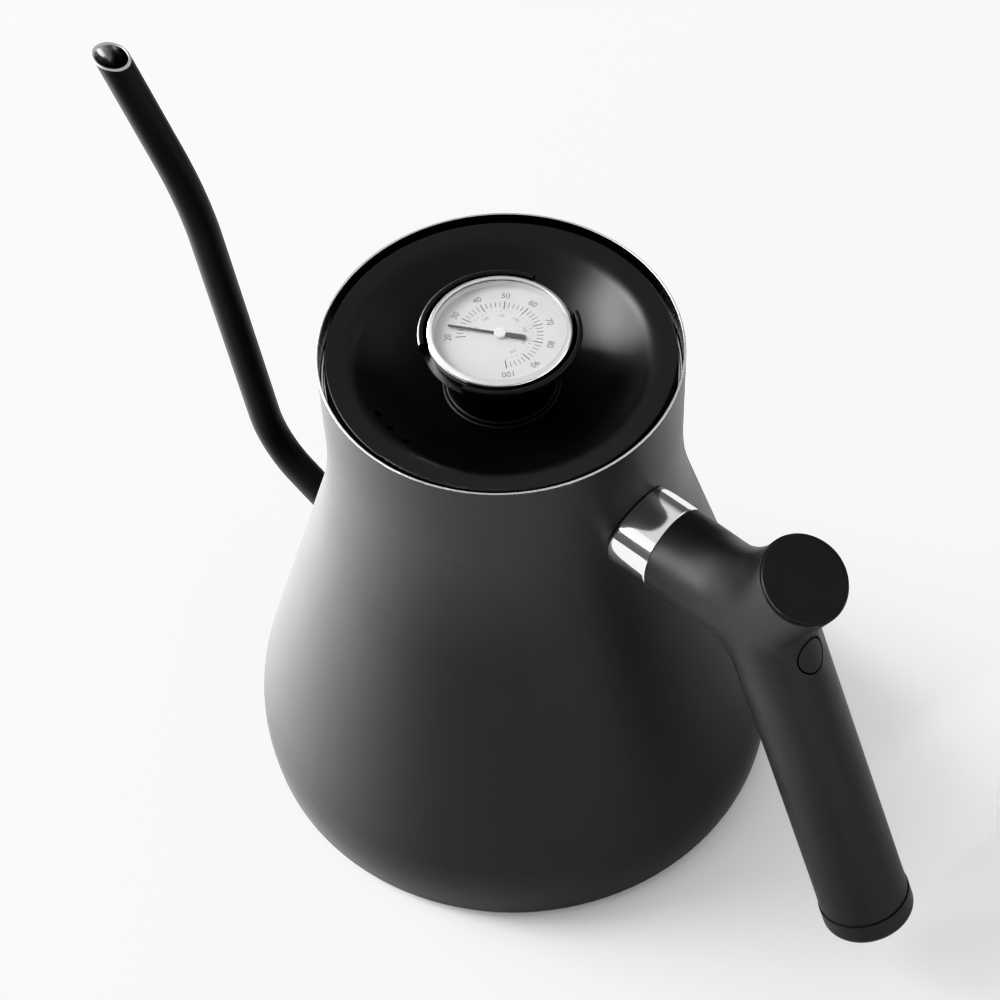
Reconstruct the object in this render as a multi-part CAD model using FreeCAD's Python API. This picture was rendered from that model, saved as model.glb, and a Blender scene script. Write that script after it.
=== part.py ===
import FreeCAD, Part
import math
import os

# Gooseneck kettle with a lid thermometer.
# Millimetres, +Z up. The origin is where the kettle's axis meets the surface
# it stands on. The handle points along +X and the spout along -X.

# ---------------------------------------------------------------- dimensions
# shell
wall = 1.1                  # sheet thickness
bottom_z = 4.4              # underside of the flat bottom
foot_z = 1.6                # lowest edge of the shell's ring-shaped foot
foot_in_r = 66.4            # inner edge of the foot
foot_mid_r = 68.2
foot_out_r = 74.2           # outer edge of the foot
crease_r, crease_z = 75.6, 15.25    # corner of band and flare before rounding
crease_round = 40.0
neck_r = 46.5               # straight neck
neck_corner_z = 113.87      # where flare and neck would meet without rounding
neck_round = 130.0
shell_top_z = 161.6
shell_top_in_r = 45.8        # the wall is thinner above the ring's seat

# mouth ring, the shelf that carries the lid
ring_out_r = 45.75
ring_in_r = 45.0
ring_top_z = 154.4
shelf_top_z = 152.7
shelf_thick = 0.8
shelf_in_r = 39.6

# base
plate_r = 65.8
plate_thick = 0.8
plate_rim_z = 3.4
core_r = 64.9

# spout
tube_r = 4.8
tube_bore_r = 4.0
spout_root_dir = 24.0       # degrees above horizontal at the shell
spout_c1 = (-97.5, 44.1)    # first corner of the centre line (x, z)
spout_c1_round = 24.0
spout_c2 = (-115.9, 136.6)  # second corner
spout_c2_round = 75.0
spout_tip = (-140.85, 175.5)
spout_cut_tilt = 5.0        # degrees between the lip and horizontal
spout_start_x = -60.0

# handle fixing
collar_z = 127.05
collar_r = 11.65
collar_bore_r = 9.0
collar_end_x = 57.3
gasket_thick = 0.2
boss_r = 8.8
boss_end_x = 57.3
bolt_z = 122.0
bolt_r = 2.45
bolt_hole_r = 2.5
bolt_in_x = 50.0
bolt_seat_x = 78.0
bolt_clear_r = 2.75
washer_thick = 1.0
washer_r = 4.5
head_len = 5.0
head_r = 4.25
head_socket_af = 4.0
pocket_r = 4.7
plug_r = 4.65               # inner part, snug in the pocket
plug_face_r = 4.3           # outer part, with a shadow gap round it
plug_in_x = 93.0
plug_step_x = 97.5
lug_w, lug_h, lug_len = 6.0, 3.4, 3.0   # locating lug on the boss

# handle
grip_top = (86.53, 127.6)   # where grip, neck and stub axes come together (x, z)
grip_tilt = 22.6            # degrees from vertical
grip_r1 = 12.3              # at the seam; the top is as thick as the stub
grip_len = 104.0            # to the end cap's seam
cap_len = 7.2
cap_r = 12.6                # the cap stands a little proud of the grip
cap_round = 2.0
cap_groove = 0.3            # rounding on both sides of the cap's seam
neck_r0, neck_r1 = 11.75, 11.4
stub_tilt = 26.0            # degrees from vertical
stub_top = (97.1, 150.8)    # centre of the disc's face (x, z)
stub_r = 11.75
disc_r = 11.25              # the disc stands a little inside the stub's edge
disc_thick = 0.9
disc_round = 0.3
stub_edge_round = 0.4
peg_r, peg_len = 4.0, 6.0
weight_bore_r = 7.25
weight_bore_top = 40.0      # distance down the grip axis
weight_r = 7.0
weight_top = 46.0
cap_spigot_r, cap_spigot_len = 7.15, 5.0
handle_bend = 13.6          # bend radius of the bar's axis
handle_blend = 24.0         # rounding where the neck runs into the bar

# lid
bowl_r = 58.0               # radius of the dished face
bowl_centre_z = 203.5
cover_thick = 1.8
cover_flat_z = 147.5        # flat seat in the middle of the dish
cover_edge_r = 44.45
cover_edge_z = 160.3
cover_crease_r = 38.0        # corner of dish and flat ring before rounding
cover_crease_round = 8.0
skirt_in_r = 42.0
skirt_bottom_z = 155.4
cover_under_z = 158.4
lid_hole_r = 6.2
vent_r = 0.9
vent_pitch_r = 35.0
vent_angles = (-108.5, -99.25, -90.0)
liner_thick = 0.8
liner_wall_out_r = 39.1
liner_top_z = 157.45
liner_bottom_out_r = 33.0
liner_corner_z = 147.6
liner_vent_r = 1.5
liner_vent_pitch_r = 28.0
seal_in_r, seal_mid_r, seal_out_r = 39.3, 41.8, 44.7
seal_bottom_z, seal_lip_z, seal_top_z = 152.8, 155.2, 158.2

# knob
spigot_r = 6.0
spigot_bottom_z = 138.4
knob_bore_r = 3.3
flange_r, flange_z = 15.4, 148.4
flange2_r, flange2_z = 14.6, 149.3
pillar_r = 13.8
pillar_round = 2.4          # under the cup
cup_r = 20.6
cup_under_z = 162.9
cup_round = 4.2
cup_top_z = 168.1
cup_in_r = 19.1
cup_in_round = 1.6
cup_floor_z = 164.4
pillar_bore_r = 7.6
pillar_bore_z = 151.0
notch_z = 164.6
notches = ((82.8, 23.6), (259.3, 25.8))     # middle and half width, degrees
nut_af = 19.0
nut_top_z = 143.9
nut_bottom_z = 139.4
gasket_r = 11.5

# thermometer
case_r = 18.4
case_bottom_r = 17.2        # the case draws in towards its floor
case_bottom_z = 164.4
case_side_z = 166.4
case_top_z = 168.8
case_round = 1.5            # rounded bezel
case_wall = 0.9
case_floor_z = 165.0
case_ledge_z = 165.6
case_ledge_r = 13.0
bezel_in_r = 16.8
lens_r = 17.4
lens_z0, lens_z1 = 167.3, 168.2
spacer_in_r = 16.9
dial_r = 17.4
dial_thick = 0.3
stem_r = 2.0
stem_bore_r = 1.6
stem_bottom_z = 62.0
cal_nut_af = 11.0
cal_nut_z = 158.6
grommet_in_r = 2.1
grommet_flange_r = 5.5
grommet_bottom_z = 140.0
grommet_top_z = 152.4
shaft_r = 0.45
shaft_bottom_z = 66.5
shaft_hole_r = 0.8
hub_r, hub_z0, hub_z1 = 1.5, 166.05, 167.1
needle_z0, needle_thick = 166.3, 0.3
needle_len, needle_w = 13.4, 0.9
tail_len, tail_w = 6.7, 1.5
pointer_az = 209.0
coil_r, coil_wire, coil_pitch = 1.1, 0.32, 1.6
coil_z0, coil_turns = 68.0, 14

# ---------------------------------------------------------------- helpers
V = FreeCAD.Vector
AXIS_O, AXIS_Z = V(0, 0, 0), V(0, 0, 1)


def corner(p, v, n, r):
    """Tangent points and arc middle for a corner of radius r."""
    a = (p - v)
    b = (n - v)
    a.normalize()
    b.normalize()
    half = math.acos(max(-1.0, min(1.0, a.dot(b)))) / 2.0
    t = r / math.tan(half)
    bis = a + b
    bis.normalize()
    mid = v + bis * (r / math.sin(half) - r)
    return v + a * t, mid, v + b * t


def edges_through(pts, closed):
    """Lines and tangent arcs through (x, z, corner radius) points."""
    vs = [V(p[0], 0, p[1]) for p in pts]
    rs = [p[2] if len(p) > 2 else 0.0 for p in pts]
    n = len(vs)
    out = []
    segs = []
    for i in range(n):
        end = (not closed) and i in (0, n - 1)
        if rs[i] > 0 and not end:
            segs.append(corner(vs[i - 1], vs[i], vs[(i + 1) % n], rs[i]))
        else:
            segs.append((vs[i], None, vs[i]))
    last = n if closed else n - 1
    for i in range(n):
        p1, mid, p2 = segs[i]
        if mid is not None:
            out.append(Part.Arc(p1, mid, p2).toShape())
        if i < last:
            q = segs[(i + 1) % n][0]
            if (q - p2).Length > 1e-6:
                out.append(Part.LineSegment(p2, q).toShape())
    return out


def turned(pts):
    """Solid of revolution about Z from a closed (r, z, corner radius) outline."""
    face = Part.Face(Part.Wire(edges_through(pts, True)))
    return face.revolve(AXIS_O, AXIS_Z, 360)


def turned_edges(edges):
    face = Part.Face(Part.Wire(edges))
    return face.revolve(AXIS_O, AXIS_Z, 360)


def line(a, b):
    return Part.LineSegment(V(a[0], 0, a[1]), V(b[0], 0, b[1])).toShape()


def arc(a, m, b):
    return Part.Arc(V(a[0], 0, a[1]), V(m[0], 0, m[1]), V(b[0], 0, b[1])).toShape()


def offset_line(pts, d):
    """Open polyline moved d to its left, corner radii following."""
    n = len(pts)
    dirs = []
    for i in range(n - 1):
        dx, dz = pts[i + 1][0] - pts[i][0], pts[i + 1][1] - pts[i][1]
        l = math.hypot(dx, dz)
        dirs.append((dx / l, dz / l))
    out = []
    for i in range(n):
        if i == 0 or i == n - 1:
            k = 0 if i == 0 else n - 2
            out.append((pts[i][0] - dirs[k][1] * d, pts[i][1] + dirs[k][0] * d, 0.0))
            continue
        (ax, az), (bx, bz) = dirs[i - 1], dirs[i]
        turn = ax * bz - az * bx
        den = 1 + ax * bx + az * bz
        mx, mz = (-az - bz) / den, (ax + bx) / den
        r = pts[i][2] - d if turn > 0 else pts[i][2] + d
        out.append((pts[i][0] + mx * d, pts[i][1] + mz * d, max(r, 0.0)))
    return out


def tube(r_out, r_in, z0, z1):
    c = Part.makeCylinder(r_out, z1 - z0, V(0, 0, z0))
    return c.cut(Part.makeCylinder(r_in, z1 - z0 + 2, V(0, 0, z0 - 1)))


def rod(r, p, d, length):
    return Part.makeCylinder(r, length, p, d)


def hexagon(af, z0, z1):
    r = af / math.sqrt(3.0)
    pts = [V(r * math.cos(math.radians(60 * i)), r * math.sin(math.radians(60 * i)), z0)
           for i in range(7)]
    return Part.Face(Part.makePolygon(pts)).extrude(V(0, 0, z1 - z0))


def at(e, p, d, tol=1e-3):
    """True if the edge lies in the plane through p with normal d."""
    return all(abs((v.Point - p).dot(d)) < tol for v in e.Vertexes) and \
        abs((e.CenterOfMass - p).dot(d)) < tol


def one(shape):
    s = shape.removeSplitter()
    if s.ShapeType != "Solid" and len(s.Solids) == 1:
        s = s.Solids[0]
    return s


def save(name, shape):
    shape = one(shape)
    shape.exportStep("parts/%s.step" % name)


# ---------------------------------------------------------------- shell
outer = [(0.0, bottom_z, 0.0), (foot_in_r, bottom_z, 1.2), (foot_mid_r, foot_z, 1.2),
         (foot_out_r, foot_z, 2.6), (crease_r, crease_z, crease_round),
         (neck_r, neck_corner_z, neck_round), (neck_r, shell_top_z, 0.3)]
inner = offset_line(outer, wall)
inner[0] = (0.0, bottom_z + wall, 0.0)
seat_z = shelf_top_z - shelf_thick
inner[-1:] = [(neck_r - wall, seat_z, 0.0), (shell_top_in_r, seat_z, 0.0), (shell_top_in_r, shell_top_z, 0.3)]
shell = turned(outer + inner[::-1])
shell_fill = turned(outer + [(0.0, shell_top_z, 0.0)])

# ---------------------------------------------------------------- spout
root = math.radians(spout_root_dir)
start = (spout_start_x, spout_c1[1] + (spout_c1[0] - spout_start_x) * math.tan(root))
tip_dir = V(spout_tip[0] - spout_c2[0], 0, spout_tip[1] - spout_c2[1])
tip_dir.normalize()
beyond = (spout_tip[0] + tip_dir.x * 12, spout_tip[1] + tip_dir.z * 12)
path_pts = [start + (0.0,), spout_c1 + (spout_c1_round,), spout_c2 + (spout_c2_round,), beyond + (0.0,)]
path = Part.Wire(edges_through(path_pts, False))
root_dir = V(spout_c1[0] - start[0], 0, spout_c1[1] - start[1])
root_dir.normalize()


def along(r):
    ring = Part.Wire(Part.makeCircle(r, V(start[0], 0, start[1]), root_dir))
    return path.makePipeShell([ring], True, True)


spout_bar = along(tube_r)
spout_bore = along(tube_bore_r)
tilt = math.radians(spout_cut_tilt)
cut_n = V(math.sin(tilt), 0, math.cos(tilt))
tip_box = Part.makeBox(60, 60, 40, V(-30, -30, 0))
tip_box.rotate(V(0, 0, 0), V(0, 1, 0), spout_cut_tilt)
tip_box.translate(V(spout_tip[0], 0, spout_tip[1]))
spout = spout_bar.cut(spout_bore).cut(tip_box).cut(shell_fill)
spout = max(spout.Solids, key=lambda s: s.Volume)
save("spout_tube", spout)

root_hole = rod(tube_bore_r, V(start[0], 0, start[1]), root_dir, 20)
save("kettle_body", shell.cut(root_hole))

# ---------------------------------------------------------------- mouth ring
save("mouth_ring", turned([
    (shelf_in_r, seat_z, 0.3), (ring_out_r, seat_z), (ring_out_r, ring_top_z, 0.2),
    (ring_in_r, ring_top_z, 0.2), (ring_in_r, shelf_top_z), (shelf_in_r, shelf_top_z, 0.3)]))

# ---------------------------------------------------------------- base
save("base_plate", turned([
    (0.0, 0.0), (plate_r, 0.0, 1.0), (plate_r, plate_rim_z, 0.2),
    (plate_r - plate_thick, plate_rim_z, 0.2), (plate_r - plate_thick, plate_thick, 0.3),
    (0.0, plate_thick)]))
save("base_core", turned([
    (0.0, plate_thick), (core_r, plate_thick, 0.4), (core_r, bottom_z, 0.4), (0.0, bottom_z)]))

# ---------------------------------------------------------------- handle fixing
X = V(1, 0, 0)
fill_shift = shell_fill.copy()
fill_shift.translate(V(gasket_thick, 0, 0))
sleeve = rod(collar_r, V(30, 0, collar_z), X, collar_end_x - 30)
sleeve_bore = rod(collar_bore_r, V(20, 0, collar_z), X, 60)
collar = sleeve.cut(sleeve_bore).cut(fill_shift)
end_edges = [e for e in collar.Edges
             if abs(e.CenterOfMass.x - collar_end_x) < 1e-4 and abs(e.BoundBox.ZLength - 2 * collar_r) < 1e-3]
collar = collar.makeFillet(0.6, end_edges)
save("handle_collar", collar)
gasket_bar = rod(collar_r - 0.45, V(30, 0, collar_z), X, 40).cut(sleeve_bore)
save("collar_gasket", gasket_bar.common(fill_shift).cut(shell_fill))

boss = rod(boss_r, V(30, 0, collar_z), X, boss_end_x - 30).cut(shell_fill)
lug_z = collar_z + boss_r - lug_h - 1.2
lug = Part.makeBox(lug_len + 1, lug_w, lug_h, V(boss_end_x - 1, -lug_w / 2, lug_z))
boss = boss.fuse(lug).cut(rod(bolt_hole_r, V(bolt_in_x - 0.5, 0, bolt_z), X, 60))
save("handle_boss", boss)

shank = rod(bolt_r, V(bolt_in_x, 0, bolt_z), X, bolt_seat_x + washer_thick - bolt_in_x)
head = rod(head_r, V(bolt_seat_x + washer_thick, 0, bolt_z), X, head_len)
socket = hexagon(head_socket_af, 0, 3.0)
socket.rotate(V(0, 0, 0), V(0, 1, 0), 90)
socket.translate(V(bolt_seat_x + washer_thick + head_len - 2.6, 0, bolt_z))
save("handle_bolt", shank.fuse(head).cut(socket))
save("bolt_washer", rod(washer_r, V(bolt_seat_x, 0, bolt_z), X, washer_thick)
     .cut(rod(bolt_clear_r, V(bolt_seat_x - 1, 0, bolt_z), X, washer_thick + 2)))

# ---------------------------------------------------------------- handle
g = math.radians(grip_tilt)
grip_d = V(math.sin(g), 0, -math.cos(g))
grip_o = V(grip_top[0], 0, grip_top[1])
s = math.radians(stub_tilt)
stub_d = V(math.sin(s), 0, math.cos(s))
stub_face = V(stub_top[0], 0, stub_top[1])
stub_end = stub_face - stub_d * disc_thick

# stub and grip are one round bar, bent where their two axes meet
gap = stub_end - grip_o
run = (gap.x * grip_d.z - gap.z * grip_d.x) / (stub_d.x * grip_d.z - stub_d.z * grip_d.x)
elbow = stub_end - stub_d * run
grip_end = grip_o + grip_d * grip_len
bend_a, bend_m, bend_b = corner(stub_end, elbow, grip_end, handle_bend)
bend_path = Part.Wire([Part.LineSegment(stub_end, bend_a).toShape(),
                       Part.Arc(bend_a, bend_m, bend_b).toShape()])
bend_bar = bend_path.makePipeShell([Part.Wire(Part.makeCircle(stub_r, stub_end, stub_d * -1))], True, True)
grip_bar = Part.makeCone(stub_r, grip_r1, (grip_end - bend_b).Length, bend_b, grip_d)
grip_bar = grip_bar.makeFillet(cap_groove, [e for e in grip_bar.Edges
                                            if at(e, grip_end, grip_d) and e.Length > 10])
bar = bend_bar.fuse(grip_bar).removeSplitter()
neck_len = grip_top[0] - collar_end_x
neck_bar = Part.makeCone(neck_r0, neck_r1, neck_len, V(collar_end_x, 0, collar_z), X)
y_shape = bar.fuse(neck_bar).removeSplitter()


def on_neck(e):
    """True if the edge runs round the foot of the neck."""
    if e.BoundBox.XLength < 0.5 or e.BoundBox.YLength < 0.5 or e.CenterOfMass.x < collar_end_x + 3:
        return False
    for q in e.discretize(9):
        r = neck_r0 + (neck_r1 - neck_r0) * (q.x - collar_end_x) / neck_len
        if abs(math.hypot(q.y, q.z - collar_z) - r) > 1e-3:
            return False
    return True


handle_solid = y_shape.makeFillet(handle_blend, [e for e in y_shape.Edges if on_neck(e)]).Solids[0]
stub_rim = [e for e in handle_solid.Edges if at(e, stub_end, stub_d)]
handle_solid = handle_solid.makeFillet(stub_edge_round, stub_rim).Solids[0]

handle = handle_solid
handle = handle.cut(rod(bolt_clear_r, V(collar_end_x - 1, 0, bolt_z), X, 40))
handle = handle.cut(rod(pocket_r, V(bolt_seat_x, 0, bolt_z), X, 60))
handle = handle.cut(Part.makeBox(lug_len + 0.3 + 1, lug_w + 0.3, lug_h + 0.3,
                                 V(collar_end_x - 1, -lug_w / 2 - 0.15, lug_z - 0.15)))
handle = handle.cut(rod(weight_bore_r, grip_o + grip_d * weight_bore_top, grip_d, 200))
handle = handle.cut(rod(peg_r + 0.05, stub_end - stub_d * (peg_len + 0.3), stub_d, 40))
save("handle_body", handle)

plug = rod(plug_r, V(plug_in_x, 0, bolt_z), X, plug_step_x - plug_in_x)
plug = plug.fuse(rod(plug_face_r, V(plug_in_x, 0, bolt_z), X, 40)).common(handle_solid)
save("screw_plug", plug)

disc = rod(disc_r, stub_end, stub_d, disc_thick)
rim = [e for e in disc.Edges if at(e, stub_face, stub_d) and e.Length > 10]
disc = disc.makeFillet(disc_round, rim)
save("thumb_disc", disc.fuse(rod(peg_r, stub_end - stub_d * peg_len, stub_d, peg_len + 0.5)))

cap_o = grip_o + grip_d * grip_len
cap = rod(cap_r, cap_o, grip_d, cap_len)
cap_edge = [e for e in cap.Edges if at(e, cap_o + grip_d * cap_len, grip_d) and e.Length > 10]
cap = cap.makeFillet(cap_round, cap_edge)
cap_seam = [e for e in cap.Edges if at(e, cap_o, grip_d) and e.Length > 10]
cap = cap.makeFillet(cap_groove, cap_seam)
save("end_cap", cap.fuse(rod(cap_spigot_r, cap_o - grip_d * cap_spigot_len, grip_d, cap_spigot_len + 0.5)))
weight_o = grip_o + grip_d * weight_top
save("counterweight", rod(weight_r, weight_o, grip_d, grip_len - cap_spigot_len - weight_top))

# ---------------------------------------------------------------- lid


def bowl_z(r, extra=0.0):
    return bowl_centre_z - math.sqrt((bowl_r + extra) ** 2 - r * r)


def bowl_at(z, extra=0.0):
    return math.sqrt((bowl_r + extra) ** 2 - (bowl_centre_z - z) ** 2)


flat_r = bowl_at(cover_flat_z)
under_r0 = bowl_at(cover_flat_z - cover_thick, cover_thick)
under_r1 = bowl_at(cover_under_z, cover_thick)
crease_top = bowl_z(cover_crease_r)
mid_u = (under_r0 + under_r1) / 2

# rounding between dish and flat ring, tangent to both
ring_slope = math.atan2(cover_edge_z - crease_top, cover_edge_r - cover_crease_r)


def rounding_z(r):
    return crease_top + (r - cover_crease_r) * math.tan(ring_slope) - cover_crease_round / math.cos(ring_slope)


lo, hi = cover_crease_r - 2, cover_edge_r
for _ in range(60):
    mid = (lo + hi) / 2
    if math.hypot(mid, bowl_centre_z - rounding_z(mid)) < bowl_r + cover_crease_round:
        lo = mid
    else:
        hi = mid
round_r, round_z = lo, rounding_z(lo)
share = bowl_r / (bowl_r + cover_crease_round)
dish_end = (round_r * share, bowl_centre_z - (bowl_centre_z - round_z) * share)
ring_start = (round_r - cover_crease_round * math.sin(ring_slope), round_z + cover_crease_round * math.cos(ring_slope))
a0 = math.atan2(dish_end[1] - round_z, dish_end[0] - round_r)
a1 = math.atan2(ring_start[1] - round_z, ring_start[0] - round_r)
round_mid = (round_r + cover_crease_round * math.cos((a0 + a1) / 2),
             round_z + cover_crease_round * math.sin((a0 + a1) / 2))
mid_t = (flat_r + dish_end[0]) / 2
top_edge = [
    line((lid_hole_r, cover_flat_z), (flat_r, cover_flat_z)),
    arc((flat_r, cover_flat_z), (mid_t, bowl_z(mid_t)), dish_end),
    arc(dish_end, round_mid, ring_start),
]
ring_pts = [ring_start + (0,), (cover_edge_r, cover_edge_z, 0.6),
            (cover_edge_r, skirt_bottom_z, 0.3), (skirt_in_r, skirt_bottom_z, 0.2),
            (skirt_in_r, cover_under_z, 0.2), (under_r1, cover_under_z, 0)]
cover_edges = top_edge + edges_through(ring_pts, False) + [
    arc((under_r1, cover_under_z), (mid_u, bowl_z(mid_u, cover_thick)),
        (under_r0, cover_flat_z - cover_thick)),
    line((under_r0, cover_flat_z - cover_thick), (lid_hole_r, cover_flat_z - cover_thick)),
    line((lid_hole_r, cover_flat_z - cover_thick), (lid_hole_r, cover_flat_z)),
]
cover = turned_edges(cover_edges)
cover = cover.cut(rod(flange_r + 0.05, V(0, 0, cover_flat_z), AXIS_Z, 5))    # seat of the knob's flange
for a in vent_angles:
    t = math.radians(a)
    cover = cover.cut(rod(vent_r, V(vent_pitch_r * math.cos(t), vent_pitch_r * math.sin(t), 140), AXIS_Z, 40))
save("lid_cover", cover)

lt = cover_flat_z - cover_thick
liner_line = [(lid_hole_r, lt - liner_thick, 0.0), (liner_bottom_out_r, lt - liner_thick, 4.0),
              (liner_wall_out_r, liner_corner_z, 3.0), (liner_wall_out_r, liner_top_z, 0.0)]
liner_in = offset_line(liner_line, liner_thick)
liner = turned(liner_line + liner_in[::-1])
for a in vent_angles:
    t = math.radians(a)
    liner = liner.cut(rod(liner_vent_r, V(liner_vent_pitch_r * math.cos(t), liner_vent_pitch_r * math.sin(t), 140),
                          AXIS_Z, 10))
save("lid_liner", liner)

save("lid_seal", turned([
    (seal_in_r, seal_bottom_z, 0.3), (seal_out_r, seal_bottom_z, 0.5), (seal_out_r, seal_lip_z, 0.5),
    (seal_mid_r, seal_lip_z, 0.0), (seal_mid_r, seal_top_z, 0.3), (seal_in_r, seal_top_z, 0.3)]))

knob = turned([
    (knob_bore_r, spigot_bottom_z), (spigot_r, spigot_bottom_z, 0.5), (spigot_r, cover_flat_z),
    (flange_r, cover_flat_z), (flange_r, flange_z, 0.7), (flange2_r, flange_z), (flange2_r, flange2_z, 0.7),
    (pillar_r, flange2_z), (pillar_r, cup_under_z, pillar_round), (cup_r, cup_under_z, cup_round),
    (cup_r, cup_top_z, 0.7), (cup_in_r, cup_top_z, 0.7), (cup_in_r, cup_floor_z, cup_in_round),
    (pillar_bore_r, cup_floor_z, 0.3),
    (pillar_bore_r, pillar_bore_z, 0.3), (knob_bore_r, pillar_bore_z)])
for a, half in notches:
    w = []
    for side in (-1, 1):
        t = math.radians(a + side * half)
        w.append(V(40 * math.cos(t), 40 * math.sin(t), notch_z))
    wedge = Part.Face(Part.makePolygon([V(0, 0, notch_z), w[0], w[1], V(0, 0, notch_z)])).extrude(V(0, 0, 20))
    knob = knob.cut(wedge)
save("lid_knob", knob)

save("knob_gasket", tube(gasket_r, lid_hole_r, nut_top_z, lt - liner_thick))
save("knob_nut", hexagon(nut_af, nut_bottom_z, nut_top_z).cut(
    rod(spigot_r + 0.05, V(0, 0, nut_bottom_z - 1), AXIS_Z, 20)))

save("stem_grommet", turned([
    (grommet_in_r, grommet_bottom_z), (knob_bore_r - 0.02, grommet_bottom_z, 0.3),
    (knob_bore_r - 0.02, pillar_bore_z), (grommet_flange_r, pillar_bore_z),
    (grommet_flange_r, grommet_top_z, 0.4), (grommet_in_r, grommet_top_z, 0.0)]))

# ---------------------------------------------------------------- thermometer
case_in_r = case_r - case_wall
save("thermometer_case", turned([
    (shaft_hole_r, case_bottom_z), (case_bottom_r, case_bottom_z, 0.8), (case_r, case_side_z, 0.4),
    (case_r, case_top_z, case_round), (bezel_in_r, case_top_z, 0.08), (bezel_in_r, lens_z1, 0.0), (case_in_r, lens_z1),
    (case_in_r, case_ledge_z), (case_ledge_r, case_ledge_z), (case_ledge_r, case_floor_z),
    (shaft_hole_r, case_floor_z)]))
save("dial_plate", tube(dial_r, shaft_hole_r, case_ledge_z, case_ledge_z + dial_thick))
save("dial_spacer", turned([
    (spacer_in_r - 0.35, case_ledge_z + dial_thick), (dial_r, case_ledge_z + dial_thick),
    (dial_r, lens_z0), (spacer_in_r, lens_z0)]))
save("dial_lens", Part.makeCylinder(lens_r, lens_z1 - lens_z0, V(0, 0, lens_z0)))
save("thermometer_stem", turned([
    (0.0, stem_bottom_z), (stem_r, stem_bottom_z, 1.2), (stem_r, case_bottom_z),
    (stem_bore_r, case_bottom_z), (stem_bore_r, stem_bottom_z + 2.0), (0.0, stem_bottom_z + 2.0)]))
save("calibration_nut", hexagon(cal_nut_af, cal_nut_z, case_bottom_z).cut(
    rod(stem_r + 0.02, V(0, 0, cal_nut_z - 1), AXIS_Z, 20)))

helix = Part.makeHelix(coil_pitch, coil_pitch * coil_turns, coil_r)
helix.translate(V(0, 0, coil_z0))
slope = math.atan2(coil_pitch, 2 * math.pi * coil_r)
section = Part.Wire(Part.makeCircle(coil_wire / 2, V(coil_r, 0, coil_z0),
                                    V(0, math.cos(slope), math.sin(slope))))
save("bimetal_coil", Part.Wire(helix.Edges).makePipeShell([section], True, True))

# ---------------------------------------------------------------- pointer
t = math.radians(pointer_az)
needle = Part.makeBox(needle_len, needle_w, needle_thick, V(0, -needle_w / 2, needle_z0))
tail = Part.makeBox(tail_len, tail_w, needle_thick, V(-tail_len, -tail_w / 2, needle_z0))
hub = Part.makeCylinder(hub_r, hub_z1 - hub_z0, V(0, 0, hub_z0))
pointer = needle.fuse([tail, hub])
pointer.rotate(V(0, 0, 0), V(0, 0, 1), pointer_az)
save("pointer", pointer)
save("pointer_shaft", Part.makeCylinder(shaft_r, hub_z0 - shaft_bottom_z, V(0, 0, shaft_bottom_z)))
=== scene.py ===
import math

import bpy
from mathutils import Matrix, Vector


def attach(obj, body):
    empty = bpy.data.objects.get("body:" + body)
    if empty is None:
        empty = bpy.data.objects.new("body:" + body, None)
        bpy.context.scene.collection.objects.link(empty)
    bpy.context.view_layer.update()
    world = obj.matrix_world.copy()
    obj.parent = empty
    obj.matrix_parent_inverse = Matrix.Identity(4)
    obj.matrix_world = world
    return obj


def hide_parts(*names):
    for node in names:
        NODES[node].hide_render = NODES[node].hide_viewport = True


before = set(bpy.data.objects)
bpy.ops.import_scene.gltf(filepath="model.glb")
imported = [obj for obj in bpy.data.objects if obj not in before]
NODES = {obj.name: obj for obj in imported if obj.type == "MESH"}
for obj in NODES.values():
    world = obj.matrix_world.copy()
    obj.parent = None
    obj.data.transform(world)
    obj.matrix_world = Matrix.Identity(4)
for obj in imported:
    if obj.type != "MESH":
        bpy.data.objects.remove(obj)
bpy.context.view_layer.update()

MM = 0.001


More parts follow.
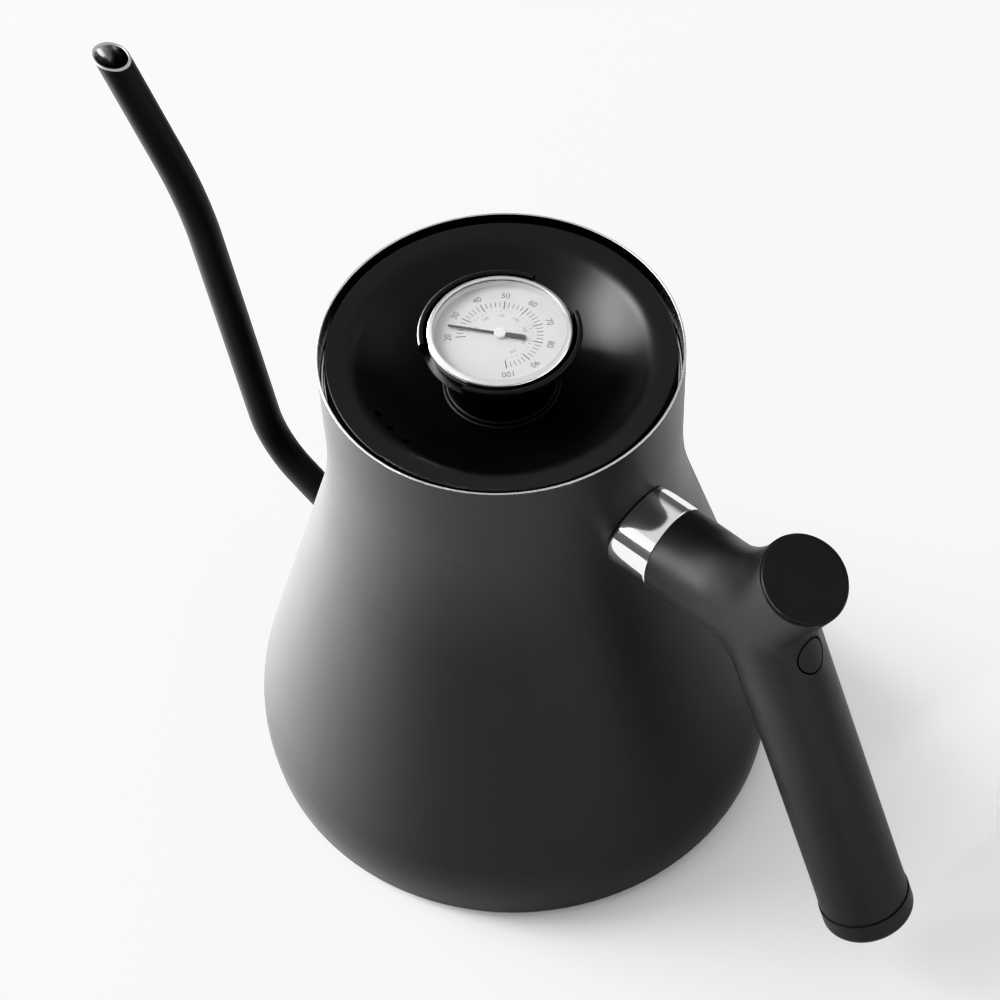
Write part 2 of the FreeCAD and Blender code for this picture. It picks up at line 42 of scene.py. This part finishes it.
# ------------------------------------------------------------------ materials
class Mat:
    """A material round one Principled shader, with short calls for its nodes."""

    def __init__(self, name):
        self.mat = bpy.data.materials.new(name)
        self.mat.use_nodes = True
        self.nt = self.mat.node_tree
        self.nt.nodes.clear()
        self.out = self.nt.nodes.new("ShaderNodeOutputMaterial")
        self.b = self.nt.nodes.new("ShaderNodeBsdfPrincipled")
        self.link(self.b.outputs["BSDF"], self.out.inputs["Surface"])
        self.co = self.nt.nodes.new("ShaderNodeTexCoord").outputs["Object"]

    def link(self, a, b):
        self.nt.links.new(a, b)

    def set(self, **kw):
        for k, v in kw.items():
            self.b.inputs[k.replace("_", " ")].default_value = v
        return self

    def coords(self, scale=(1, 1, 1), rot=(0, 0, 0), loc=(0, 0, 0), src=None):
        n = self.nt.nodes.new("ShaderNodeMapping")
        n.inputs["Scale"].default_value = scale
        n.inputs["Rotation"].default_value = rot
        n.inputs["Location"].default_value = loc
        self.link(src or self.co, n.inputs["Vector"])
        return n.outputs["Vector"]

    def noise(self, scale, detail=2.0, rough=0.5, co=None):
        n = self.nt.nodes.new("ShaderNodeTexNoise")
        n.inputs["Scale"].default_value = scale
        n.inputs["Detail"].default_value = detail
        n.inputs["Roughness"].default_value = rough
        self.link(co or self.co, n.inputs["Vector"])
        return n.outputs["Fac"]

    def cells(self, scale, co=None):
        n = self.nt.nodes.new("ShaderNodeTexVoronoi")
        n.inputs["Scale"].default_value = scale
        self.link(co or self.co, n.inputs["Vector"])
        return n.outputs["Distance"]

    def span(self, v, lo, hi, a=0.3, b=0.7):
        n = self.nt.nodes.new("ShaderNodeMapRange")
        n.inputs["From Min"].default_value = a
        n.inputs["From Max"].default_value = b
        n.inputs["To Min"].default_value = lo
        n.inputs["To Max"].default_value = hi
        self.link(v, n.inputs["Value"])
        return n.outputs["Result"]

    def ramp(self, v, stops):
        n = self.nt.nodes.new("ShaderNodeValToRGB")
        e = n.color_ramp.elements
        while len(e) < len(stops):
            e.new(0.5)
        for el, (p, c) in zip(e, stops):
            el.position = p
            el.color = (c[0], c[1], c[2], 1.0)
        self.link(v, n.inputs["Fac"])
        return n.outputs["Color"]

    def math(self, op, a, b=None, c=None):
        n = self.nt.nodes.new("ShaderNodeMath")
        n.operation = op
        for i, v in enumerate((a, b, c)):
            if v is None:
                continue
            if isinstance(v, (int, float)):
                n.inputs[i].default_value = v
            else:
                self.link(v, n.inputs[i])
        return n.outputs[0]

    def xyz(self, co=None):
        n = self.nt.nodes.new("ShaderNodeSeparateXYZ")
        self.link(co or self.co, n.inputs[0])
        return n.outputs

    def bump(self, v, dist, strength=1.0, under=None):
        n = self.nt.nodes.new("ShaderNodeBump")
        n.inputs["Distance"].default_value = dist
        n.inputs["Strength"].default_value = strength
        self.link(v, n.inputs["Height"])
        if under is not None:
            self.link(under, n.inputs["Normal"])
        self.link(n.outputs["Normal"], self.b.inputs["Normal"])
        return n.outputs["Normal"]

    def colour(self, c):
        self.link(c, self.b.inputs["Base Color"])

    def roughness(self, r):
        self.link(r, self.b.inputs["Roughness"])


def g(v, warm=0.0):
    """A grey, a touch warm or cool."""
    return (v * (1 + warm), v, v * (1 - warm))


def coat(name, lo, hi, r0, r1, spec, grain=2600, depth=0.00002, warm=0.0, sheen=0.0, sheen_r=0.35, bare=None,
         rise=()):
    """Sprayed matt coating: fine orange-peel grain over a faint cloud.

    With bare = (base, rough, rough) the inner face and the rim of a turned
    shell are left as uncoated steel, and the shading runs evenly round the
    axis. Each (z, z, factor, factor) in rise changes the roughness with
    height."""
    m = Mat(name)
    cloud = m.noise(38, 3.0, 0.55)
    fine = m.noise(grain, 2.0, 0.6)
    both = m.math("ADD", m.math("MULTIPLY", cloud, 0.6), m.math("MULTIPLY", fine, 0.4))
    paint = m.ramp(both, [(0.3, g(lo, warm)), (0.7, g(hi, warm))])
    rough = m.span(both, r0, r1)
    for z0, z1, k0, k1 in rise:
        rough = m.math("MULTIPLY", rough, m.span(m.xyz()[2], k0, k1, z0, z1))
    if bare:
        x, y, z = m.xyz()
        nx, ny, nz = m.xyz(m.nt.nodes.new("ShaderNodeNewGeometry").outputs["Normal"])
        inward = m.math("ADD", m.math("MULTIPLY", nx, x), m.math("MULTIPLY", ny, y))
        mask = m.math("MAXIMUM", m.math("LESS_THAN", inward, -0.001), m.math("GREATER_THAN", nz, 0.45))
        mix = m.nt.nodes.new("ShaderNodeMix")
        mix.data_type = "RGBA"
        m.link(mask, mix.inputs[0])
        m.link(paint, mix.inputs[6])
        m.link(m.ramp(both, [(0.3, g(bare[0] * 0.93)), (0.7, g(bare[0]))]), mix.inputs[7])
        paint = mix.outputs[2]
        rough = m.math("ADD", rough, m.math("MULTIPLY", mask, m.math("SUBTRACT", m.span(both, bare[1], bare[2]), rough)))
        m.link(mask, m.b.inputs["Metallic"])
        level = m.math("SQRT", m.math("ADD", m.math("MULTIPLY", nx, nx), m.math("MULTIPLY", ny, ny)))
        r = m.math("SQRT", m.math("ADD", m.math("MULTIPLY", x, x), m.math("MULTIPLY", y, y)))
        k = m.math("DIVIDE", m.math("MULTIPLY", level, m.math("SIGN", inward)), m.math("MAXIMUM", r, 0.001))
        even = m.nt.nodes.new("ShaderNodeCombineXYZ")
        m.link(m.math("MULTIPLY", x, k), even.inputs[0])
        m.link(m.math("MULTIPLY", y, k), even.inputs[1])
        m.link(nz, even.inputs[2])
    m.colour(paint)
    m.roughness(rough)
    peel = m.bump(m.noise(grain * 0.36, 2.0, 0.5), depth * 1.2, 0.5, under=even.outputs[0] if bare else None)
    m.bump(fine, depth, 0.6, under=peel)
    m.set(Specular_IOR_Level=spec)
    if sheen:
        m.set(Sheen_Weight=sheen, Sheen_Roughness=sheen_r)
    return m.mat


def steel(name, base, r0, r1, stretch=None, scale=900, depth=0.000004, warm=0.0):
    """Bare stainless steel with a fine finish, drawn out along one way."""
    m = Mat(name)
    co = m.coords(scale=stretch) if stretch else None
    fine = m.noise(scale, 3.0, 0.6, co)
    cloud = m.noise(55, 2.0, 0.5)
    both = m.math("ADD", m.math("MULTIPLY", cloud, 0.45), m.math("MULTIPLY", fine, 0.55))
    m.colour(m.ramp(both, [(0.3, g(base * 0.93, warm)), (0.7, g(base, warm))]))
    m.roughness(m.span(both, r0, r1))
    m.bump(fine, depth, 0.6)
    m.set(Metallic=1.0)
    return m.mat


def turned_steel(name, base, r0, r1, rings=5200, depth=0.000003):
    """Steel with fine turning lines about the kettle's axis."""
    m = Mat(name)
    x, y, z = m.xyz()
    r = m.math("SQRT", m.math("ADD", m.math("MULTIPLY", x, x), m.math("MULTIPLY", y, y)))
    n = m.nt.nodes.new("ShaderNodeCombineXYZ")
    m.link(r, n.inputs[0])
    m.link(z, n.inputs[1])
    lines = m.noise(rings, 2.0, 0.6, n.outputs[0])
    cloud = m.noise(60, 2.0, 0.5)
    both = m.math("ADD", m.math("MULTIPLY", cloud, 0.4), m.math("MULTIPLY", lines, 0.6))
    m.colour(m.ramp(both, [(0.3, g(base * 0.94)), (0.7, g(base))]))
    m.roughness(m.span(both, r0, r1))
    m.bump(lines, depth, 0.5)
    m.set(Metallic=1.0)
    return m.mat


def soft_touch(name, lo, hi, r0, r1, spec, grain=3400, depth=0.00003):
    """Soft-touch moulded grip: very fine pebble grain and a dull sheen."""
    m = Mat(name)
    cloud = m.noise(45, 3.0, 0.55)
    cell = m.cells(grain * 0.55)
    fine = m.noise(grain, 2.0, 0.6)
    both = m.math("ADD", m.math("MULTIPLY", cloud, 0.5), m.math("MULTIPLY", fine, 0.5))
    m.colour(m.ramp(both, [(0.3, g(lo)), (0.7, g(hi))]))
    m.roughness(m.span(both, r0, r1))
    pebble = m.bump(cell, depth, 0.5)
    m.bump(fine, depth * 0.7, 0.5, under=pebble)
    m.set(Specular_IOR_Level=spec)
    return m.mat


def rubber(name, lo, hi):
    m = Mat(name)
    n = m.noise(420, 3.0, 0.6)
    m.colour(m.ramp(n, [(0.3, g(lo)), (0.7, g(hi))]))
    m.roughness(m.span(n, 0.5, 0.66))
    m.bump(n, 0.00003, 0.4)
    return m.mat


def dial_paint(name, lo, hi):
    """White enamel, faintly uneven."""
    m = Mat(name)
    n = m.math("ADD", m.math("MULTIPLY", m.noise(140, 3.0, 0.5), 0.6),
               m.math("MULTIPLY", m.noise(2200, 2.0, 0.5), 0.4))
    m.colour(m.ramp(n, [(0.3, g(lo)), (0.7, g(hi))]))
    m.roughness(m.span(n, 0.42, 0.55))
    m.bump(n, 0.000006, 0.5)
    return m.mat


def ink(name, lo, hi):
    m = Mat(name)
    n = m.noise(1500, 3.0, 0.6)
    m.colour(m.ramp(n, [(0.3, g(lo)), (0.7, g(hi))]))
    m.roughness(m.span(n, 0.45, 0.6))
    return m.mat


def clear_glass(name):
    m = Mat(name)
    n = m.noise(60, 2.0, 0.5)
    m.roughness(m.span(n, 0.012, 0.03))
    m.set(Transmission_Weight=1.0, IOR=1.46, Base_Color=(0.985, 0.99, 0.988, 1.0))
    return m.mat


M = {
    "black_coat": coat("coat_black", 0.0160, 0.0200, 0.47, 0.55, 0.34, sheen=0.02, sheen_r=0.3,
                       bare=(0.58, 0.22, 0.32), rise=((0.02, 0.15, 1.09, 0.92), (0.004, 0.026, 0.84, 1.0))),
    "spout_coat": coat("coat_spout", 0.0110, 0.0145, 0.46, 0.54, 0.24),
    "lid_black": coat("lid_satin", 0.0085, 0.0120, 0.27, 0.34, 0.42, grain=3200, depth=0.000012),
    "knob_black": coat("knob_satin", 0.006, 0.009, 0.40, 0.50, 0.40, grain=3000, depth=0.000014),
    "soft_black": soft_touch("grip_soft", 0.014, 0.019, 0.45, 0.54, 0.26),
    "disc_black": soft_touch("disc_soft", 0.011, 0.015, 0.58, 0.68, 0.28, grain=4200, depth=0.000016),
    "polished_steel": steel("steel_polished", 0.80, 0.05, 0.11, stretch=(1.0, 6.0, 6.0), scale=500),
    "bare_steel": turned_steel("steel_bare", 0.74, 0.16, 0.26),
    "bezel_steel": turned_steel("steel_bezel", 0.80, 0.20, 0.30),
    "base_steel": turned_steel("steel_base", 0.62, 0.28, 0.40, rings=2600, depth=0.000008),
    "bolt_steel": steel("steel_bolt", 0.50, 0.25, 0.38, scale=1400),
    "weight_steel": steel("steel_weight", 0.36, 0.38, 0.52, scale=700, depth=0.00001),
    "core_aluminium": steel("aluminium_core", 0.70, 0.34, 0.46, scale=800, depth=0.00001),
    "tube_steel": steel("steel_tube", 0.50, 0.18, 0.28, scale=1200),
    "silicone": rubber("silicone_black", 0.012, 0.019),
    "dial_white": dial_paint("dial_enamel", 0.475, 0.535),
    "spacer_white": dial_paint("spacer_enamel", 0.47, 0.53),
    "bimetal": steel("bimetal_strip", 0.58, 0.25, 0.36, scale=1500, warm=0.16),
    "pointer_black": ink("pointer_paint", 0.030, 0.046),
    "hub_white": dial_paint("hub_enamel", 0.62, 0.70),
    "dial_ink": ink("dial_print", 0.070, 0.110),
    "fine_ink": ink("dial_print_fine", 0.20, 0.27),
    "lens_clear": clear_glass("lens_glass"),
}

for node in NODES.values():
    own = [s.name.split(".")[0] for s in node.data.materials if s]
    for i, s in enumerate(own):
        node.data.materials[i] = M[s]

NODES["dial_lens"].visible_shadow = False


# -------------------------------------------------------------------- helpers
def add_mesh(name, verts, faces, mats, face_mat=None, smooth=True, sharp=None):
    me = bpy.data.meshes.new(name)
    me.from_pydata([tuple(v) for v in verts], [], faces)
    me.validate()
    for m in mats:
        me.materials.append(m)
    if face_mat:
        me.polygons.foreach_set("material_index", face_mat)
    me.polygons.foreach_set("use_smooth", [smooth] * len(me.polygons))
    if sharp is not None:
        me.set_sharp_from_angle(angle=math.radians(sharp))
    me.update()
    ob = bpy.data.objects.new(name, me)
    bpy.context.scene.collection.objects.link(ob)
    return ob


def corner_points(p, v, n, r, step):
    """Points of the arc of radius r that rounds the corner at v."""
    a, b = (p - v).normalized(), (n - v).normalized()
    half = math.acos(max(-1.0, min(1.0, a.dot(b)))) / 2
    t = r / math.tan(half)
    c = v + (a + b).normalized() * (r / math.sin(half))
    s, e = v + a * t - c, v + b * t - c
    ang = s.angle(e)
    k = max(3, int(round(ang * r / step)))
    out = []
    for i in range(k + 1):
        f = i / k
        out.append(c + (s * math.sin((1 - f) * ang) + e * math.sin(f * ang)) / math.sin(ang))
    return out


# ---------------------------------------------------------------------- spout
def shell_radius(z):
    """Outer radius of the shell at a height on its straight flare (mm)."""
    return 75.6 + (46.5 - 75.6) * (z - 15.25) / (113.87 - 15.25)


def build_spout():
    tan = math.tan(math.radians(24.0))
    c1, c2, tip = Vector((-97.5, 0, 44.1)), Vector((-115.9, 0, 136.6)), Vector((-140.85, 0, 175.5))
    start = Vector((-60.0, 0, 44.1 + (-97.5 + 60.0) * tan))
    tip_dir = (tip - c2).normalized()
    root_dir = (c1 - start).normalized()
    arc1 = corner_points(start, c1, c2, 24.0, 1.2)
    arc2 = corner_points(c1, c2, tip, 75.0, 1.6)
    pts = []
    p = Vector((-76.0, 0, 44.1 + (-97.5 + 76.0) * tan))
    n = int((arc1[0] - p).length / 2) + 1
    pts += [p.lerp(arc1[0], i / n) for i in range(n)]
    pts += arc1
    n = int((arc2[0] - arc1[-1]).length / 4) + 1
    pts += [arc1[-1].lerp(arc2[0], i / n) for i in range(1, n)]
    pts += arc2
    last = arc2[-1]
    stop = tip - tip_dir * 6.0
    n = int((stop - last).length / 3) + 1
    pts += [last.lerp(stop, i / n) for i in range(1, n + 1)]
    seg = 72
    ry = Vector((0, 1, 0))
    verts, faces, fmat = [], [], []
    cut = Vector((math.sin(math.radians(5.0)), 0, math.cos(math.radians(5.0))))

    def ring(c, d, r, slide=None):
        rx = ry.cross(d).normalized()
        out = []
        for k in range(seg):
            a = 2 * math.pi * k / seg
            q = c + (rx * math.cos(a) + ry * math.sin(a)) * r
            if slide:
                q = slide(q)
            out.append(len(verts))
            verts.append(q * MM)
        return out

    def to_shell(inset):
        def f(q):
            lo, hi = -40.0, 40.0
            for _ in range(50):
                mid = (lo + hi) / 2
                w = q + root_dir * mid
                if math.hypot(w.x, w.y) - shell_radius(w.z) < -inset:
                    lo = mid
                else:
                    hi = mid
            return q + root_dir * lo
        return f

    def to_lip(depth):
        def f(q):
            t = (tip - q).dot(cut) / tip_dir.dot(cut)
            return q + tip_dir * (t - depth)
        return f

    def tangent(i):
        if i == 0:
            return root_dir
        if i >= len(pts) - 1:
            return tip_dir
        return (pts[i + 1] - pts[i - 1]).normalized()

    outer = [ring(start, root_dir, 5.15, to_shell(0.35)), ring(start, root_dir, 4.95, to_shell(-0.12)),
             ring(start, root_dir, 4.84, to_shell(-0.4)), ring(start, root_dir, 4.8, to_shell(-0.8))]
    near = [i for i, c in enumerate(pts) if (c - start).dot(root_dir) > 22.5 or i > 12]
    first = near[0]
    for i in range(first, len(pts)):
        outer.append(ring(pts[i], tangent(i), 4.8))
    lip = [(4.8, 0.62), (4.8, 0.34), (4.78, 0.20), (4.72, 0.09), (4.62, 0.02), (4.50, 0.0),
           (4.30, 0.0), (4.18, 0.03), (4.08, 0.11), (4.02, 0.22), (4.0, 0.36), (4.0, 0.8)]
    lips = [ring(tip - tip_dir * 3, tip_dir, r, to_lip(d)) for r, d in lip]
    inner = [ring(pts[i], tangent(i), 4.0) for i in range(len(pts) - 1, first - 1, -1)]
    inner.append(ring(start, root_dir, 4.0, to_shell(0.35)))
    loops = outer + lips + inner
    bare_from = len(outer) + 1
    for a in range(len(loops)):
        b = (a + 1) % len(loops)
        for k in range(seg):
            j = (k + 1) % seg
            faces.append((loops[a][k], loops[a][j], loops[b][j], loops[b][k]))
            fmat.append(1 if bare_from <= a else 0)
    ob = add_mesh("spout", verts, faces, [M["spout_coat"], M["tube_steel"]], fmat, sharp=50)
    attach(ob, "kettle")
    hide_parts("spout_tube")
    return ob


build_spout()


# ----------------------------------------------------------------------- dial
DIAL_Z = 165.9
DIAL_UP = 83.5          # azimuth of the dial's own upright


def dial_dir(a):
    """Unit vector at clockwise angle a from the dial's upright."""
    t = math.radians(DIAL_UP - a)
    return Vector((math.cos(t), math.sin(t), 0))


def reading(v):
    """Clockwise angle of a reading on the main scale, 20 to 100."""
    return -141.0 + (v - 20.0) * 3.3


def slab(verts, faces, corners, z0, z1):
    """A thin printed patch with square edges."""
    n, k = len(verts), len(corners)
    for z in (z0, z1):
        for c in corners:
            verts.append(Vector((c.x, c.y, z)) * MM)
    faces.append(tuple(range(n + k - 1, n - 1, -1)))
    faces.append(tuple(range(n + k, n + 2 * k)))
    for i in range(k):
        j = (i + 1) % k
        faces.append((n + i, n + j, n + k + j, n + k + i))


def build_ticks():
    verts, faces = [], []
    for i in range(0, 81, 2):
        v = 20 + i
        d = dial_dir(reading(v))
        s = Vector((-d.y, d.x, 0))
        if i % 10 == 0:
            r0, r1, w = 8.5, 11.1, 0.15
        else:
            r0, r1, w = 9.2, 10.9, 0.095
        slab(verts, faces, [d * r0 - s * w, d * r1 - s * w, d * r1 + s * w, d * r0 + s * w],
             DIAL_Z, DIAL_Z + 0.02)
    ob = add_mesh("dial_ticks", verts, faces, [M["dial_ink"]], smooth=False)
    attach(ob, "thermometer")


def build_fine_ticks():
    verts, faces = [], []
    f = 70
    while f <= 210:
        c = (f - 32) / 1.8
        d = dial_dir(reading(c))
        s = Vector((-d.y, d.x, 0))
        r0, w = (7.5, 0.09) if f % 20 == 0 else (7.8, 0.06)
        slab(verts, faces, [d * r0 - s * w, d * 8.3 - s * w, d * 8.3 + s * w, d * r0 + s * w],
             DIAL_Z, DIAL_Z + 0.02)
        f += 5
    ob = add_mesh("dial_fine_ticks", verts, faces, [M["fine_ink"]], smooth=False)
    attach(ob, "thermometer")


def build_numbers(name, values, angle, radius, height, mat, squeeze=1.0):
    """Plain numerals set round the dial, tops outward."""
    verts, faces = [], []
    for v in values:
        cu = bpy.data.curves.new("numeral", "FONT")
        cu.body = str(v)
        cu.align_x, cu.align_y = "CENTER", "CENTER"
        cu.size = height * 1.38
        cu.resolution_u = 6
        cu.extrude = 0.01
        ob = bpy.data.objects.new("numeral", cu)
        bpy.context.scene.collection.objects.link(ob)
        me = bpy.data.meshes.new_from_object(ob.evaluated_get(bpy.context.evaluated_depsgraph_get()))
        xs = [q.co.x for q in me.vertices]
        ys = [q.co.y for q in me.vertices]
        cx, cy = (min(xs) + max(xs)) / 2, (min(ys) + max(ys)) / 2
        a = angle(v)
        d = dial_dir(a)
        right = Vector((d.y, -d.x, 0))
        o = d * radius
        n = len(verts)
        for q in me.vertices:
            p = o + right * ((q.co.x - cx) * squeeze) + d * (q.co.y - cy)
            verts.append(Vector((p.x, p.y, DIAL_Z + 0.01 + q.co.z)) * MM)
        for f in me.polygons:
            faces.append(tuple(n + i for i in f.vertices))
        bpy.data.objects.remove(ob)
        bpy.data.curves.remove(cu)
        bpy.data.meshes.remove(me)
    ob = add_mesh(name, verts, faces, [mat], smooth=False)
    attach(ob, "thermometer")


build_ticks()
build_fine_ticks()
build_numbers("dial_numbers", range(20, 101, 10), reading, 13.05, 1.75, M["dial_ink"], 0.95)
build_numbers("dial_fine_numbers", range(80, 201, 20), lambda f: reading((f - 32) / 1.8), 6.4, 0.95,
              M["fine_ink"], 0.95)


def build_pointer():
    """Flat needle with a rounded counterweight tail and a domed hub."""
    t = math.radians(209.0)
    d, s = Vector((math.cos(t), math.sin(t), 0)), Vector((-math.sin(t), math.cos(t), 0))
    verts, faces, fmat = [], [], []
    outline = [(0.0, 0.36), (13.0, 0.30), (13.32, 0.2), (13.4, 0.0), (13.32, -0.2), (13.0, -0.30), (0.0, -0.36)]
    tail = [(-0.2, -0.46), (-1.9, -0.56), (-2.5, -0.72), (-5.9, -0.72)]
    for i in range(1, 8):
        a = -math.pi / 2 - math.pi * i / 8
        tail.append((-5.98 + 0.72 * math.cos(a), 0.72 * math.sin(a)))
    tail += [(-5.9, 0.72), (-2.5, 0.72), (-1.9, 0.56), (-0.2, 0.46)]
    shape = outline + tail
    k = len(shape)
    z0, z1, bev = 166.3, 166.6, 0.05
    cx = sum(p[0] for p in shape) / k

    def put(p, z, shrink):
        x, y = p
        y = y - math.copysign(min(abs(y), shrink), y)
        x = x - (shrink if x > 13 else -shrink if x < -6.2 else 0)
        q = d * x + s * y
        verts.append(Vector((q.x, q.y, z)) * MM)

    for z, sh in ((z0, bev), (z0 + bev, 0), (z1 - bev, 0), (z1, bev)):
        for p in shape:
            put(p, z, sh)
    for layer in range(3):
        for i in range(k):
            j = (i + 1) % k
            faces.append((layer * k + i, layer * k + j, (layer + 1) * k + j, (layer + 1) * k + i))
            fmat.append(0)
    faces.append(tuple(range(k - 1, -1, -1)))
    faces.append(tuple(range(3 * k, 4 * k)))
    fmat += [0, 0]
    n = 40
    rings = [(0.0, 166.05), (1.42, 166.05), (1.5, 166.12), (1.5, 166.8), (1.44, 166.95), (1.28, 167.05),
             (0.9, 167.1), (0.62, 167.1), (0.55, 167.02), (0.0, 167.02)]
    base = len(verts)
    loops = []
    for r, z in rings:
        if r == 0:
            loops.append([len(verts)] * n)
            verts.append(Vector((0, 0, z)) * MM)
        else:
            loops.append(list(range(len(verts), len(verts) + n)))
            for i in range(n):
                a = 2 * math.pi * i / n
                verts.append(Vector((r * math.cos(a), r * math.sin(a), z)) * MM)
    for a in range(len(rings) - 1):
        for i in range(n):
            j = (i + 1) % n
            f = []
            for q in (loops[a][i], loops[a][j], loops[a + 1][j], loops[a + 1][i]):
                if q not in f:
                    f.append(q)
            faces.append(tuple(f))
            fmat.append(1)
    ob = add_mesh("needle", verts, faces, [M["pointer_black"], M["hub_white"]], fmat, sharp=35)
    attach(ob, "pointer")
    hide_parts("pointer")


build_pointer()


# ---------------------------------------------------------------------- stage
def build_floor():
    me = bpy.data.meshes.new("floor")
    ring = [2 * math.pi * i / 128 for i in range(128)]
    me.from_pydata([(1.4 * math.cos(a), 1.4 * math.sin(a), -0.0002) for a in ring], [], [list(range(128))])
    ob = bpy.data.objects.new("floor", me)
    bpy.context.scene.collection.objects.link(ob)
    m = Mat("floor_pale")
    x, y, z = m.xyz()
    # Painted light: the floor's colour is painted lighter towards the right of the view, a painted lift of the
    # kettle's shadow on that side, laid over a faint random cloud.
    shadow_lift_across = m.math("ADD", m.math("MULTIPLY", x, 0.743), m.math("MULTIPLY", y, 0.669))
    n = m.math("ADD", m.math("MULTIPLY", m.noise(2.2, 4.0, 0.55), 0.5), m.span(shadow_lift_across, 0.0, 0.5, 0.02, 0.14))
    m.colour(m.ramp(n, [(0.2, (0.845, 0.845, 0.84)), (0.8, (0.905, 0.905, 0.902))]))
    m.set(Roughness=0.55, Specular_IOR_Level=0.25)
    me.materials.append(m.mat)


build_floor()


def area_light(name, az, el, dist, size, power, target=(0, 0, 0.08), colour=(1, 1, 1), spread=180):
    li = bpy.data.lights.new(name, "AREA")
    li.shape = "RECTANGLE"
    li.size, li.size_y = size
    li.energy = power
    li.spread = math.radians(spread)
    li.color = colour
    ob = bpy.data.objects.new(name, li)
    a, e = math.radians(az), math.radians(el)
    t = Vector(target)
    ob.location = t + Vector((math.cos(a) * math.cos(e), math.sin(a) * math.cos(e), math.sin(e))) * dist
    ob.rotation_euler = (t - ob.location).to_track_quat("-Z", "Y").to_euler()
    ob.visible_camera = False
    bpy.context.scene.collection.objects.link(ob)
    return ob


area_light("window", 205, 29, 1.6, (0.98, 0.95), 17)
area_light("window_top", 205, 45, 1.6, (0.9, 0.5), 10.3)
area_light("window_end", 190, 24, 1.6, (0.9, 0.8), 1.5)
area_light("sill", 192, 0, 1.25, (0.8, 0.1), 122, target=(0, 0, 0.07))
area_light("card", 243, 32, 1.6, (0.9, 0.6), 3)
area_light("handle_card", 247, 28, 0.7, (0.08, 0.08), 0.045, target=(0.094, -0.004, 0.122), spread=9)
area_light("fill_front", -14, 6, 1.5, (0.9, 0.25), 4.6, target=(0, 0, 0.07))
area_light("fill_right", 30, 12, 2.0, (1.8, 0.6), 11.5)
area_light("fill_back", 70, 30, 1.8, (1.0, 0.8), 1.2)

world = bpy.data.worlds.new("studio")
bpy.context.scene.world = world
world.use_nodes = True
wn = world.node_tree.nodes
wl = world.node_tree.links
bg = wn["Background"]
way = wn.new("ShaderNodeTexCoord")
part = wn.new("ShaderNodeSeparateXYZ")
sky = wn.new("ShaderNodeValToRGB")
for el, (at, v) in zip([sky.color_ramp.elements[0], sky.color_ramp.elements[1]], ((0.30, 0.18), (0.55, 0.88))):
    el.position = at
    el.color = (v, v, v, 1.0)
wl.new(way.outputs["Generated"], part.inputs[0])
wl.new(part.outputs[2], sky.inputs[0])
wl.new(sky.outputs[0], bg.inputs["Color"])
bg.inputs["Strength"].default_value = 1.0
wall = wn.new("ShaderNodeBackground")       # the pale studio wall behind the floor's far edge
wall.inputs["Color"].default_value = (0.92, 0.92, 0.915, 1.0)
wall.inputs["Strength"].default_value = 1.5
path = wn.new("ShaderNodeLightPath")
pick = wn.new("ShaderNodeMixShader")
wl.new(path.outputs["Is Camera Ray"], pick.inputs[0])
wl.new(bg.outputs[0], pick.inputs[1])
wl.new(wall.outputs[0], pick.inputs[2])
wl.new(pick.outputs[0], wn["World Output"].inputs["Surface"])

# --------------------------------------------------------------------- camera
cam = bpy.data.cameras.new("camera")
cam.sensor_width = 36.0
cam.lens = 90.0
cam.clip_start, cam.clip_end = 0.02, 60.0
cam_ob = bpy.data.objects.new("camera", cam)
bpy.context.scene.collection.objects.link(cam_ob)
fw = Vector((-0.4229, 0.4335, -0.7958)).normalized()
rt = Vector((0.7429, 0.6687, -0.0306))
rt = (rt - fw * rt.dot(fw)).normalized()
up = rt.cross(fw)
place = Matrix((rt, up, -fw)).transposed().to_4x4()
place.translation = Vector((0.2843, -0.2944, 0.6363))
cam_ob.matrix_world = place
bpy.context.scene.camera = cam_ob

bpy.context.scene.view_settings.view_transform = "Khronos PBR Neutral"
